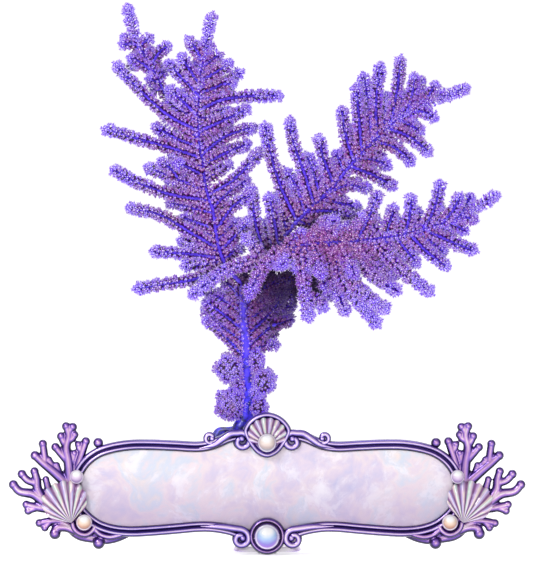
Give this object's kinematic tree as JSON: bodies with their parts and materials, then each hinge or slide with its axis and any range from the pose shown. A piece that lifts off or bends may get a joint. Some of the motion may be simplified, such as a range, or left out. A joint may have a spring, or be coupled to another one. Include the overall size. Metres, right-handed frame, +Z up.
{
  "type": "sea fan on a name plaque stand",
  "caption": "Frilly feathery sea fan with a bare lower stem, grown on a holdfast that sits on a plinth behind an ornate scrolled plaque with shells, pearls and coral sprigs.",
  "frame": {"origin": "middle of the flat underside of the plinth's foot, on the surface it stands on, on the line of symmetry of the plaque", "axes": "+X along the plaque to the right as seen from the front, +Y from the plaque towards the back, +Z up; the front faces -Y"},
  "size_m": [0.2982, 0.0883, 0.3198],
  "materials": {
    "plinth_resin": "cast resin in a deep pearlescent violet",
    "pearl_violet_casting": "cast resin in pearlescent violet with bluish and rose glints",
    "nacre_panel": "polished pearly lavender inlay",
    "iridescent_shell": "ribbed mother of pearl lustre",
    "pearl": "smooth pearl lustre",
    "sea_fan": "horny violet-blue stems covered with lilac eight-armed polyps"
  },
  "bodies": {
    "root": {"plinth": "plinth_resin", "plaque_frame": "pearl_violet_casting", "name_panel": "nacre_panel", "top_shell": "iridescent_shell", "top_pearl": "pearl", "bottom_pearl": "pearl", "left_coral_sprigs": "pearl_violet_casting", "right_coral_sprigs": "pearl_violet_casting", "left_shell": "iridescent_shell", "right_shell": "iridescent_shell", "left_upper_pearl": "pearl", "right_upper_pearl": "pearl", "left_lower_pearl": "pearl", "right_lower_pearl": "pearl", "trunk_and_holdfast": "sea_fan", "tall_frond": "sea_fan", "back_plume": "sea_fan", "middle_frond": "sea_fan", "right_frond": "sea_fan"}
  },
  "joints": []
}
